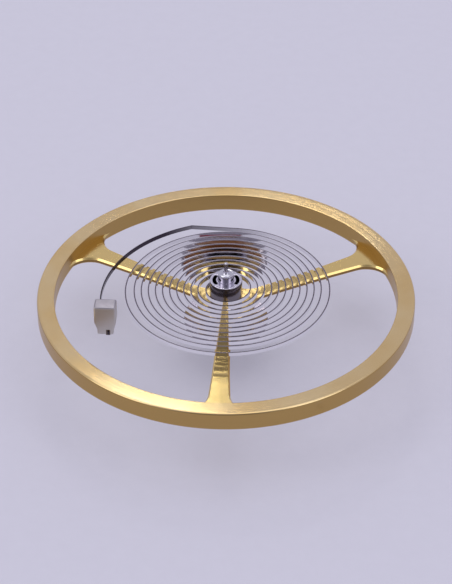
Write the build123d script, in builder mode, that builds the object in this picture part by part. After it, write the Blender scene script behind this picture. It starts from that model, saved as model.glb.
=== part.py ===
from build123d import *

import os
from math import cos, dist, pi, radians, sin, sqrt

# Balance complete of a wristwatch: a plain three-armed wheel riveted to its staff, a double roller with its
# impulse jewel, a collet, a flat hairspring and the stud that holds the spring's outer end.
# Millimetres. +Z runs up the staff, and the origin is the tip of the lower pivot.
# Angles are in degrees from +X, counter-clockwise seen from above.

# Balance wheel: rim and three arms cut from one blank
rim_outer_radius = 5.0
rim_width = 0.46
rim_height = 0.50
rim_bevel = 0.03
rim_drop = 0.03
arm_count = 3
first_arm_angle = 267.5
arm_thickness = 0.17
arm_waist_distance = 1.80
arm_waist_width = 0.39
arm_hub_width = 0.40
arm_rim_width = 0.66
hub_radius = 0.76
window_rim_rounding = 0.60
window_hub_rounding = 0.36
poising_pit_radius = 0.16
poising_pit_depth = 0.10
poising_pit_angle = 297.6

# Balance staff: equal pivots with flared cones, roller seat, flange, riveted wheel seat, and a collet seat that
# stands up out of the collet
pivot_radius = 0.05
pivot_length = 0.22
pivot_end_rounding = 0.02
lower_cone_length = 0.20
lower_arbor_length = 0.38
roller_seat_radius = 0.23
flange_radius = 0.58
flange_height = 0.18
flange_bevel = 0.10
wheel_seat_radius = 0.36
rivet_radius = 0.44
rivet_height = 0.04
collet_seat_radius = 0.21
upper_arbor_length = 0.20
upper_cone_length = 0.12

# Double roller: safety roller with its crescent below, impulse disc with the jewel's hole above
safety_roller_radius = 0.46
safety_roller_height = 0.20
crescent_radius = 0.17
crescent_depth = 0.12
roller_neck_radius = 0.34
roller_neck_height = 0.17
impulse_disc_radius = 1.12
impulse_disc_height = 0.18
roller_boss_radius = 0.34
roller_boss_height = 0.15
roller_bevel = 0.02

# Impulse jewel: a D-shaped pin, and the low bead of shellac that fixes it from above
jewel_radius = 0.18
jewel_flat_distance = 0.07
jewel_length = 0.62
jewel_distance = 0.82
jewel_angle = 87.5
jewel_clearance = 0.005
shellac_radius = 0.26
shellac_top_radius = 0.20
shellac_height = 0.05

# Collet: a ring pressed on the staff, with two curved openings that let it spring and grip
collet_radius = 0.43
collet_height = 0.64
collet_gap = 0.03
collet_bevel = 0.03
collet_opening_distance = 0.31
collet_opening_width = 0.09
collet_opening_span = 62.0

# Hairspring: a flat strip wound on edge, laid along the collet, coiled, led out and bent at a knee
spring_thickness = 0.035
spring_height = 0.11
spring_lift = 0.255
spring_weld_span = 30.0
coil_start_angle = 84.0
coil_first_radius = 0.691
coil_pitch = 0.187
coil_turns = 12
outer_turn_widening = 0.04
lead_out_length = 1.20
knee_radius = 0.15
knee_angle = 25.6
terminal_radius = 3.50
terminal_angle = 86.9
spring_tail = 0.05
gap_samples = 2600

# Stud: an upright block with a narrowed foot, turned a little from the spring and slit along it
stud_width = 0.565
stud_depth = 0.40
stud_height = 0.87
stud_turn = -20.0
stud_foot_width = 0.42
stud_foot_height = 0.14
stud_taper_height = 0.22
stud_top_bevel = 0.03
slit_width = 0.10
slit_margin = 0.03

overrun = 0.02

# Heights, from the tip of the lower pivot upwards
lower_cone_top = pivot_length + lower_cone_length
roller_bottom = lower_cone_top + lower_arbor_length
neck_bottom = roller_bottom + safety_roller_height
disc_bottom = neck_bottom + roller_neck_height
disc_top = disc_bottom + impulse_disc_height
flange_bottom = disc_top + roller_boss_height
web_bottom = flange_bottom + flange_height
web_top = web_bottom + arm_thickness
rim_bottom = web_bottom - rim_drop
rivet_top = web_top + rivet_height
collet_bottom = rivet_top + collet_gap
collet_top = collet_bottom + collet_height
upper_cone_bottom = collet_top + upper_arbor_length
upper_pivot_bottom = upper_cone_bottom + upper_cone_length
staff_top = upper_pivot_bottom + pivot_length
spring_bottom = collet_bottom + spring_lift
spring_middle = spring_bottom + spring_height / 2
stud_bottom = spring_bottom - slit_margin
slit_height = spring_height + 2 * slit_margin

up = Vector(0, 0, 1)


def plan_direction(angle):
    """The level direction at an angle from +X."""
    return Vector(cos(radians(angle)), sin(radians(angle)), 0)


def arm_edge_point(along, width, side):
    """A point on the edge of the arm that bounds a window, in the frame where the window's middle lies on +X.

    along is the distance from the staff measured along the arm, width is the arm's width there, and side is
    1 for the arm above the window's middle line and -1 for the one below it.
    """
    half_gap = radians(180 / arm_count)
    x = along * cos(half_gap) + width / 2 * sin(half_gap)
    y = along * sin(half_gap) - width / 2 * cos(half_gap)
    return (x, side * y)


def along_at(radius, width):
    """How far along an arm its edge meets a circle about the staff."""
    return sqrt(radius**2 - (width / 2) ** 2)


rim_inner_radius = rim_outer_radius - rim_width
window_hub_along = along_at(hub_radius, arm_hub_width)
window_rim_along = along_at(rim_inner_radius, arm_rim_width)

# One window between two arms: two waisted arm edges, closed by arcs of the hub and of the rim
with BuildSketch() as window:
    with BuildLine():
        edges_of_arms = []
        for side in (1, -1):
            edges_of_arms.append(
                ThreePointArc(
                    arm_edge_point(window_hub_along, arm_hub_width, side),
                    arm_edge_point(arm_waist_distance, arm_waist_width, side),
                    arm_edge_point(window_rim_along, arm_rim_width, side),
                )
            )
        upper_edge, lower_edge = edges_of_arms
        ThreePointArc(upper_edge @ 0, (hub_radius, 0), lower_edge @ 0)
        ThreePointArc(upper_edge @ 1, (rim_inner_radius, 0), lower_edge @ 1)
    make_face()
    corners = window.vertices().sort_by_distance((0, 0, 0))
    fillet(corners[:2], radius=window_hub_rounding)
    corners = window.vertices().sort_by_distance((0, 0, 0))
    fillet(corners[-2:], radius=window_rim_rounding)

with BuildPart() as balance_wheel:
    with BuildSketch(Plane.XY.offset(rim_bottom)):
        Circle(rim_outer_radius)
        Circle(rim_inner_radius, mode=Mode.SUBTRACT)
    extrude(amount=rim_height)
    chamfer(balance_wheel.edges().filter_by(GeomType.CIRCLE), length=rim_bevel)
    pit_direction = plan_direction(poising_pit_angle)
    pit_height = poising_pit_depth + overrun
    pit_start = pit_direction * (rim_outer_radius + overrun) + up * (rim_bottom + rim_height / 2)
    with Locations(Plane(origin=pit_start, z_dir=-pit_direction)):
        Cone(
            bottom_radius=poising_pit_radius * pit_height / poising_pit_depth,
            top_radius=0,
            height=pit_height,
            align=(Align.CENTER, Align.CENTER, Align.MIN),
            mode=Mode.SUBTRACT,
        )
    with BuildSketch(Plane.XY.offset(web_bottom)):
        Circle(rim_inner_radius + rim_width / 2)
        Circle(wheel_seat_radius, mode=Mode.SUBTRACT)
        with PolarLocations(0, arm_count, start_angle=first_arm_angle + 180 / arm_count):
            add(window.sketch, mode=Mode.SUBTRACT)
    extrude(amount=arm_thickness)

pivot_flat_radius = pivot_radius - pivot_end_rounding
with BuildPart() as balance_staff:
    with BuildSketch(Plane.XZ):
        with BuildLine():
            Line((0, 0), (pivot_flat_radius, 0))
            TangentArc((pivot_radius, pivot_end_rounding), (pivot_flat_radius, 0), tangent=(0, -1))
            Line((pivot_radius, pivot_end_rounding), (pivot_radius, pivot_length))
            TangentArc((pivot_radius, pivot_length), (roller_seat_radius, lower_cone_top), tangent=(0, 1))
            Polyline(
                (roller_seat_radius, lower_cone_top),
                (roller_seat_radius, flange_bottom),
                (flange_radius - flange_bevel, flange_bottom),
                (flange_radius, flange_bottom + flange_bevel),
                (flange_radius, web_bottom),
                (wheel_seat_radius, web_bottom),
                (wheel_seat_radius, web_top),
                (rivet_radius, web_top),
                (rivet_radius - rivet_height, rivet_top),
                (collet_seat_radius, rivet_top),
                (collet_seat_radius, upper_cone_bottom),
            )
            TangentArc(
                (pivot_radius, upper_pivot_bottom),
                (collet_seat_radius, upper_cone_bottom),
                tangent=(0, -1),
            )
            Line((pivot_radius, upper_pivot_bottom), (pivot_radius, staff_top - pivot_end_rounding))
            TangentArc(
                (pivot_radius, staff_top - pivot_end_rounding),
                (pivot_flat_radius, staff_top),
                tangent=(0, 1),
            )
            Line((pivot_flat_radius, staff_top), (0, staff_top))
            Line((0, staff_top), (0, 0))
        make_face()
    revolve(axis=Axis.Z)

jewel_direction = plan_direction(jewel_angle)


def jewel_plane(height):
    """The plane at a height whose origin is on the jewel's axis and whose +X points away from the staff."""
    return Plane(origin=jewel_direction * jewel_distance + up * height, x_dir=jewel_direction, z_dir=up)


def jewel_outline(clearance):
    """The jewel's D outline in a sketch, a clearance larger all round, with its flat away from the staff."""
    Circle(jewel_radius + clearance)
    cut_width = jewel_radius - jewel_flat_distance + overrun
    with Locations((jewel_flat_distance + clearance + cut_width / 2, 0)):
        Rectangle(cut_width, 2 * (jewel_radius + overrun), mode=Mode.SUBTRACT)


with BuildPart() as double_roller:
    with BuildSketch(Plane.XY.offset(roller_bottom)):
        Circle(safety_roller_radius)
    extrude(amount=safety_roller_height)
    crescent_distance = safety_roller_radius + crescent_radius - crescent_depth
    with BuildSketch(Plane(origin=jewel_direction * crescent_distance + up * roller_bottom, z_dir=up)):
        Circle(crescent_radius)
    extrude(amount=safety_roller_height, mode=Mode.SUBTRACT)
    with BuildSketch(Plane.XY.offset(neck_bottom)):
        Circle(roller_neck_radius)
    extrude(amount=roller_neck_height)
    with BuildSketch(Plane.XY.offset(disc_bottom)):
        Circle(impulse_disc_radius)
    extrude(amount=impulse_disc_height)
    edges_of_disc = double_roller.edges().filter_by(GeomType.CIRCLE).sort_by(SortBy.LENGTH)[-2:]
    chamfer(edges_of_disc, length=roller_bevel)
    with BuildSketch(Plane.XY.offset(disc_top)):
        Circle(roller_boss_radius)
    extrude(amount=roller_boss_height)
    with BuildSketch(jewel_plane(disc_bottom - overrun)):
        jewel_outline(jewel_clearance)
    extrude(amount=impulse_disc_height + 2 * overrun, mode=Mode.SUBTRACT)
    with BuildSketch(Plane.XY.offset(roller_bottom - overrun)):
        Circle(roller_seat_radius)
    extrude(amount=flange_bottom - roller_bottom + 2 * overrun, mode=Mode.SUBTRACT)

with BuildPart() as impulse_jewel:
    with BuildSketch(jewel_plane(disc_top - jewel_length)):
        jewel_outline(0)
    extrude(amount=jewel_length)

with BuildPart() as jewel_shellac:
    with Locations(jewel_plane(disc_top)):
        Cone(
            bottom_radius=shellac_radius,
            top_radius=shellac_top_radius,
            height=shellac_height,
            align=(Align.CENTER, Align.CENTER, Align.MIN),
        )

with BuildPart() as collet:
    opening_line = CenterArc(
        (0, 0), collet_opening_distance, -collet_opening_span / 2, collet_opening_span, mode=Mode.PRIVATE
    )
    with BuildSketch(Plane.XY.offset(collet_bottom)):
        Circle(collet_radius)
        Circle(collet_seat_radius, mode=Mode.SUBTRACT)
        with PolarLocations(0, 2):
            SlotArc(opening_line, height=collet_opening_width, mode=Mode.SUBTRACT)
    extrude(amount=collet_height)
    edges_of_wall = collet.edges().filter_by(GeomType.CIRCLE).sort_by(SortBy.LENGTH)[-2:]
    chamfer(edges_of_wall, length=collet_bevel)

# The spring's middle line: welded along the collet, led off it in a first turn, wound in half turns that
# each grow by half the pitch, the outer turn a little wider, then led out straight, bent at the knee, curved
# over an arm and passed through the stud
weld_radius = collet_radius + spring_thickness / 2
lead_off = (coil_first_radius - weld_radius - coil_pitch / 2) / 2
with BuildLine(Plane.XY.offset(spring_middle)) as spring_line:
    bend = CenterArc((0, 0), weld_radius, coil_start_angle - spring_weld_span, spring_weld_span)
    radius = weld_radius + lead_off
    bend = JernArc(bend @ 1, bend % 1, radius, 180)
    radius += lead_off + coil_pitch / 4
    bend = JernArc(bend @ 1, bend % 1, radius, 180)
    for turn in range(1, coil_turns):
        if turn == coil_turns - 1:
            radius += outer_turn_widening
        for half in range(2):
            radius += coil_pitch / 2
            bend = JernArc(bend @ 1, bend % 1, radius, 180)
    lead_out = Line(bend @ 1, bend @ 1 + (bend % 1) * lead_out_length)
    knee = JernArc(lead_out @ 1, lead_out % 1, knee_radius, knee_angle)
    terminal = JernArc(knee @ 1, knee % 1, terminal_radius, terminal_angle)
    Line(terminal @ 1, terminal @ 1 + (terminal % 1) * (stud_depth + spring_tail))
spring_wire = spring_line.wires()[0]

with BuildPart() as hairspring:
    with BuildSketch(Plane(origin=spring_wire @ 0, x_dir=up, z_dir=spring_wire % 0)):
        Rectangle(spring_height, spring_thickness)
    sweep(path=spring_wire)

slit_direction = terminal % 1
stud_direction = slit_direction.rotate(Axis.Z, stud_turn)
stud_point = terminal @ 1 + slit_direction * (stud_depth / 2)
stud_base = Vector(stud_point.X, stud_point.Y, stud_bottom)
stud_plane = Plane(origin=stud_base, x_dir=stud_direction.cross(up), z_dir=-stud_direction)
slit_plane = Plane(origin=stud_base, x_dir=slit_direction.cross(up), z_dir=-slit_direction)

# The stud's outer form, and the space of the slit, which runs along the spring and past both its faces
with BuildPart() as stud_block:
    with BuildSketch(stud_plane):
        with BuildLine():
            Polyline(
                (-stud_foot_width / 2, 0),
                (stud_foot_width / 2, 0),
                (stud_foot_width / 2, stud_foot_height),
                (stud_width / 2, stud_foot_height + stud_taper_height),
                (stud_width / 2, stud_height),
                (-stud_width / 2, stud_height),
                (-stud_width / 2, stud_foot_height + stud_taper_height),
                (-stud_foot_width / 2, stud_foot_height),
                close=True,
            )
        make_face()
    extrude(amount=stud_depth / 2, both=True)

with BuildPart() as slit_space:
    with BuildSketch(slit_plane):
        with Locations((0, (slit_height - overrun) / 2)):
            Rectangle(slit_width, slit_height + overrun)
    extrude(amount=stud_depth, both=True)

with BuildPart() as stud:
    add(stud_block.part)
    chamfer(stud.faces().sort_by(Axis.Z)[-1].edges(), length=stud_top_bevel)
    add(slit_space.part, mode=Mode.SUBTRACT)

with BuildPart() as stud_cement:
    add(stud_block.part)
    add(slit_space.part, mode=Mode.INTERSECT)
    add(hairspring.part, mode=Mode.SUBTRACT)


def least_gap(wire, samples, thickness, apart):
    """The least clear gap between stretches of a strip that lie more than apart from each other along it."""
    points = [tuple(wire @ (i / samples)) for i in range(samples + 1)]
    skip = int(apart / wire.length * samples) + 1
    pairs = ((a, b) for i, a in enumerate(points) for b in points[i + skip :])
    return min(dist(a, b) for a, b in pairs) - thickness


print(f"hairspring: length {spring_wire.length:.2f}, volume {hairspring.part.volume:.5f}")
print(f"hairspring: section times length {spring_wire.length * spring_height * spring_thickness:.5f}")
print(f"hairspring: least gap {least_gap(spring_wire, gap_samples, spring_thickness, pi * weld_radius):.4f}")
print(f"stud at {stud_point.X:.3f}, {stud_point.Y:.3f}; top of the staff at {staff_top:.3f}")

pieces = {
    "balance_wheel": balance_wheel,
    "balance_staff": balance_staff,
    "double_roller": double_roller,
    "impulse_jewel": impulse_jewel,
    "jewel_shellac": jewel_shellac,
    "collet": collet,
    "hairspring": hairspring,
    "stud": stud,
    "stud_cement": stud_cement,
}
os.makedirs("parts", exist_ok=True)
for name, piece in pieces.items():
    piece.part.label = name
    export_step(piece.part, f"parts/{name}.step")
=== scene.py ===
"""The balance complete of a wristwatch, dressed for a close studio view.

Every size is in millimetres and every plan angle in degrees from +X, counter-clockwise seen from above, as in
the part's own source. Plan points are complex numbers: the real part is +X and the imaginary part is +Y. Meshes
are made in millimetres and brought to metres when they become pieces.
"""

import logging
from cmath import phase, rect
from collections.abc import Iterable, Mapping, Sequence
from dataclasses import dataclass
from enum import Enum
from math import acos, ceil, cos, pi, radians, sin, sqrt, tan

import bmesh
import bpy
from mathutils import Matrix, Vector, noise


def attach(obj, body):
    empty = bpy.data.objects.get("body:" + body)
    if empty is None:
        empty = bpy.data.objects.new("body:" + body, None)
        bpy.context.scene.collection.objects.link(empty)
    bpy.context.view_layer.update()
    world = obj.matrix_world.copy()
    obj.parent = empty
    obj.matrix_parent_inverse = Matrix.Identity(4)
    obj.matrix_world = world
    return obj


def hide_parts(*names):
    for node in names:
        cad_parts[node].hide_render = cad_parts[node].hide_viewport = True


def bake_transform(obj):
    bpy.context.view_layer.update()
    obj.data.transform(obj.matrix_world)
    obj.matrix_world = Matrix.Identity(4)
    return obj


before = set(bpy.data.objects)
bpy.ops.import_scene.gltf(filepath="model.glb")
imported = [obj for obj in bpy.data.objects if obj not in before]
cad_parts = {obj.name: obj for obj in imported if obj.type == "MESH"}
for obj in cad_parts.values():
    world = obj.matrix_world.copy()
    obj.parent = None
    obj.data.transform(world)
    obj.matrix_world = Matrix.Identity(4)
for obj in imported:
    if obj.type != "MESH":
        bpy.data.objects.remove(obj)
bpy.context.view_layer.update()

MM = 0.001
FULL_TURN = 2 * pi
HALF_TURN = 180.0
SMALL = 1e-6
MERGED = 5e-5  # points nearer than this are one point
APART = 1e-4  # keeps two points of a section from being one
PAST = 0.05  # how far a cutting shape reaches past what it cuts
SHARP_ANGLE = radians(40)
CORNER_STEP = radians(22.5)
FILLET_STEP = radians(6)
NOISE_MIDDLE = 0.5

log = logging.getLogger("balance_complete")

Colour = tuple[float, float, float]
Section = list[complex]


class Body(Enum):
    """The two bodies that the joint of the balance joins."""

    HELD = "stud_side_body"
    SWINGING = "balance"


class Joining(Enum):
    """How one mesh changes another."""

    UNION = "UNION"
    DIFFERENCE = "DIFFERENCE"


class Grain(Enum):
    """The direction in which a metal face was worked."""

    TURNED = "turned"
    DRAWN = "drawn"


# ---- Plan geometry ----


def heading(angle: float) -> complex:
    """The unit plan direction at an angle in degrees."""
    return rect(1, radians(angle))


def arc(centre: complex, start: complex, turn: float, step: float) -> list[complex]:
    """Points along an arc, its start and its end among them.

    Args:
        centre: the arc's centre.
        start: the arc's first point.
        turn: how far it turns, in radians, counter-clockwise if positive.
        step: the most that it turns between two points, in radians.

    Returns:
        The points in order.
    """
    count = max(1, ceil(abs(turn) / step - SMALL))
    return [centre + (start - centre) * rect(1, turn * i / count) for i in range(count + 1)]


def short_arc(centre: complex, start: complex, end: complex, step: float) -> list[complex]:
    """The points of the shorter arc from start to end about a centre, no further apart than step radians."""
    return arc(centre, start, phase((end - centre) / (start - centre)), step)


def circle(radius: float, count: int) -> list[complex]:
    """Points round a circle about the staff."""
    return [rect(radius, FULL_TURN * i / count) for i in range(count)]


def circle_through(first: complex, second: complex, third: complex) -> tuple[complex, float]:
    """The circle through three points.

    Args:
        first: one point.
        second: another.
        third: the last.

    Returns:
        Its centre and its radius.
    """
    w = (third - first) / (second - first)
    centre = first + (second - first) * (w - abs(w) ** 2) / (2j * w.imag)
    return centre, abs(centre - first)


def circles_meet(one: complex, reach: float, other: complex, other_reach: float, near: complex) -> complex:
    """Where two circles meet, at the crossing that is nearer to a given point.

    Args:
        one: the first circle's centre.
        reach: the first circle's radius.
        other: the second circle's centre.
        other_reach: the second circle's radius.
        near: the point that the crossing is near.

    Returns:
        The crossing.
    """
    apart = abs(other - one)
    toward = (other - one) / apart
    along = (reach**2 - other_reach**2 + apart**2) / (2 * apart)
    aside = sqrt(max(0.0, reach**2 - along**2))
    crossings = [one + toward * complex(along, side * aside) for side in (1, -1)]
    return min(crossings, key=lambda crossing: abs(crossing - near))


def eased(corners: Sequence[tuple[float, float, float]], step: float = CORNER_STEP) -> Section:
    """A closed outline with its corners rounded.

    Args:
        corners: each corner's two coordinates and the radius that rounds it, 0 for a sharp one.
        step: the most that a rounding turns between two points, in radians.

    Returns:
        The outline's points.
    """
    points: Section = []
    for i, (across, up, radius) in enumerate(corners):
        corner = complex(across, up)
        if radius == 0:
            points.append(corner)
            continue
        to_last = complex(*corners[i - 1][:2]) - corner
        to_next = complex(*corners[(i + 1) % len(corners)][:2]) - corner
        to_last, to_next = to_last / abs(to_last), to_next / abs(to_next)
        half = acos((to_last * to_next.conjugate()).real) / 2
        middle = (to_last + to_next) / abs(to_last + to_next)
        centre = corner + middle * radius / sin(half)
        back = radius / tan(half)
        points += short_arc(centre, corner + to_last * back, corner + to_next * back, step)
    return points


# ---- Meshes ----


def closed_mesh(shape: bmesh.types.BMesh) -> bpy.types.Mesh:
    """Turns a working mesh into a mesh whose faces point outwards.

    Args:
        shape: the working mesh, which is freed.

    Returns:
        The mesh.
    """
    bmesh.ops.recalc_face_normals(shape, faces=shape.faces)
    mesh = bpy.data.meshes.new("shape")
    shape.to_mesh(mesh)
    shape.free()
    return mesh


def merged(mesh: bpy.types.Mesh) -> bmesh.types.BMesh:
    """Makes one point of each group of points that fall together, so that no empty face is left.

    Args:
        mesh: the mesh.

    Returns:
        The working mesh.
    """
    shape = bmesh.new()
    shape.from_mesh(mesh)
    bmesh.ops.remove_doubles(shape, verts=shape.verts, dist=MERGED)
    return shape


def turned(section: Section, count: int) -> bpy.types.Mesh:
    """A turned shape: a closed half section, distance from the axis and height, carried round the staff.

    Args:
        section: the half section's points. A point on the axis becomes one shared vertex.
        count: how many steps go round.

    Returns:
        The mesh.
    """
    shape = bmesh.new()
    around = circle(1.0, count)
    rings = []
    for point in section:
        if point.real < SMALL:
            rings.append([shape.verts.new((0.0, 0.0, point.imag))] * count)
        else:
            rings.append([shape.verts.new((point.real * a.real, point.real * a.imag, point.imag)) for a in around])
    for ring, next_ring in zip(rings, rings[1:] + rings[:1]):
        for i in range(count):
            j = (i + 1) % count
            corners = list(dict.fromkeys([ring[i], ring[j], next_ring[j], next_ring[i]]))
            if len(corners) > 2:
                shape.faces.new(corners)
    return closed_mesh(shape)


def plate(
    outlines: Iterable[Sequence[complex]], bottom: float, top: float, bevel: float, rounding: int = 2
) -> bpy.types.Mesh:
    """A flat plate with holes and eased edges.

    Args:
        outlines: the outer outline and those of the holes, in any order.
        bottom: the height of its lower face.
        top: the height of its upper face.
        bevel: how far its edges are eased.
        rounding: how many points round an edge, 0 for a plain chamfer.

    Returns:
        The mesh.
    """
    curve = bpy.data.curves.new("plate", "CURVE")
    curve.dimensions = "2D"
    curve.fill_mode = "BOTH"
    curve.extrude = (top - bottom) / 2 - bevel
    curve.bevel_depth = bevel
    curve.bevel_resolution = rounding
    curve.offset = -bevel
    for outline in outlines:
        spline = curve.splines.new("POLY")
        spline.points.add(len(outline) - 1)
        for point, place in zip(spline.points, outline):
            point.co = (place.real, place.imag, 0.0, 1.0)
        spline.use_cyclic_u = True
    holder = bpy.data.objects.new("plate", curve)
    flat = bpy.data.meshes.new_from_object(holder)
    bpy.data.objects.remove(holder)
    bpy.data.curves.remove(curve)
    shape = merged(flat)
    bmesh.ops.translate(shape, verts=shape.verts, vec=(0.0, 0.0, (bottom + top) / 2))
    return closed_mesh(shape)


def prism(outline: Sequence[complex], bottom: float, top: float) -> bpy.types.Mesh:
    """A sharp-edged upright prism, used to cut with.

    Args:
        outline: the outline seen from above.
        bottom: the height of its lower face.
        top: the height of its upper face.

    Returns:
        The mesh.
    """
    shape = bmesh.new()
    lower = [shape.verts.new((place.real, place.imag, bottom)) for place in outline]
    upper = [shape.verts.new((place.real, place.imag, top)) for place in outline]
    shape.faces.new(lower)
    shape.faces.new(upper)
    for i in range(len(outline)):
        j = (i + 1) % len(outline)
        shape.faces.new((lower[i], lower[j], upper[j], upper[i]))
    return closed_mesh(shape)


def worked_mesh(holder: bpy.types.Object) -> bpy.types.Mesh:
    """Works an object's modifiers into a mesh of its own.

    Args:
        holder: the object.

    Returns:
        The mesh.
    """
    bpy.context.view_layer.update()
    graph = bpy.context.evaluated_depsgraph_get()
    return bpy.data.meshes.new_from_object(
        holder.evaluated_get(graph), preserve_all_data_layers=True, depsgraph=graph
    )


def joined(base: bpy.types.Mesh, tool: bpy.types.Mesh, joining: Joining) -> bpy.types.Mesh:
    """Adds a mesh to another, or cuts it out of the other.

    Args:
        base: the mesh that is changed.
        tool: the mesh that changes it.
        joining: how it does.

    Returns:
        The new mesh.
    """
    holders = [bpy.data.objects.new("joined", mesh) for mesh in (base, tool)]
    for holder in holders:
        bpy.context.scene.collection.objects.link(holder)
    step = holders[0].modifiers.new("joined", "BOOLEAN")
    step.operation = joining.value
    step.solver = "EXACT"
    step.object = holders[1]
    mesh = closed_mesh(merged(worked_mesh(holders[0])))
    for holder in holders:
        bpy.data.objects.remove(holder)
    return mesh


def piece(name: str, mesh: bpy.types.Mesh, material: bpy.types.Material) -> bpy.types.Object:
    """Makes a piece from a mesh in millimetres: smooth where it is rounded, flat where it is flat.

    The normals are weighted while the mesh is still in millimetres, because in metres its faces are too small.

    Args:
        name: the piece's name.
        mesh: its mesh.
        material: its finish.

    Returns:
        The object, in metres, in its place.
    """
    mesh.materials.clear()
    mesh.materials.append(material)
    mesh.shade_smooth()
    mesh.set_sharp_from_angle(angle=SHARP_ANGLE)
    made = bpy.data.objects.new(name, mesh)
    bpy.context.scene.collection.objects.link(made)
    normals = made.modifiers.new("flat_faces", "WEIGHTED_NORMAL")
    normals.keep_sharp = True
    made.data = worked_mesh(made)
    made.modifiers.clear()
    made.data.name = name
    made.data.transform(Matrix.Scale(MM, 4))
    return made


# ---- Shader writing ----


class Signal:
    """A number that varies over a surface, written in plain arithmetic."""

    def __init__(self, board: "Board", socket: bpy.types.NodeSocket) -> None:
        """Wraps a socket.

        Args:
            board: the material's nodes.
            socket: the output that carries the number.
        """
        self.board = board
        self.socket = socket

    def _work(self, operation: str, *values: "Signal | float") -> "Signal":
        """A Math node on the values, in their order."""
        made = self.board.node("ShaderNodeMath", {"operation": operation}, dict(enumerate(values)))
        return Signal(self.board, made.outputs[0])

    def __add__(self, other: "Signal | float") -> "Signal":
        """The sum."""
        return self._work("ADD", self, other)

    __radd__ = __add__

    def __sub__(self, other: "Signal | float") -> "Signal":
        """The difference."""
        return self._work("SUBTRACT", self, other)

    def __rsub__(self, other: float) -> "Signal":
        """The difference, number first."""
        return self._work("SUBTRACT", other, self)

    def __mul__(self, other: "Signal | float") -> "Signal":
        """The product."""
        return self._work("MULTIPLY", self, other)

    __rmul__ = __mul__

    def __or__(self, other: "Signal") -> "Signal":
        """The larger of the two."""
        return self._work("MAXIMUM", self, other)

    __ror__ = __or__

    def __pow__(self, other: float) -> "Signal":
        """The power."""
        return self._work("POWER", self, other)

    def __rpow__(self, other: float) -> "Signal":
        """The power, number first."""
        return self._work("POWER", other, self)

    def swing(self, reach: "Signal | float") -> "Signal":
        """How far the signal is from the middle of a noise, times a reach."""
        return (self - NOISE_MIDDLE) * reach


Value = Signal | bpy.types.NodeSocket | float | Colour | tuple[float, float, float, float]


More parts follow.
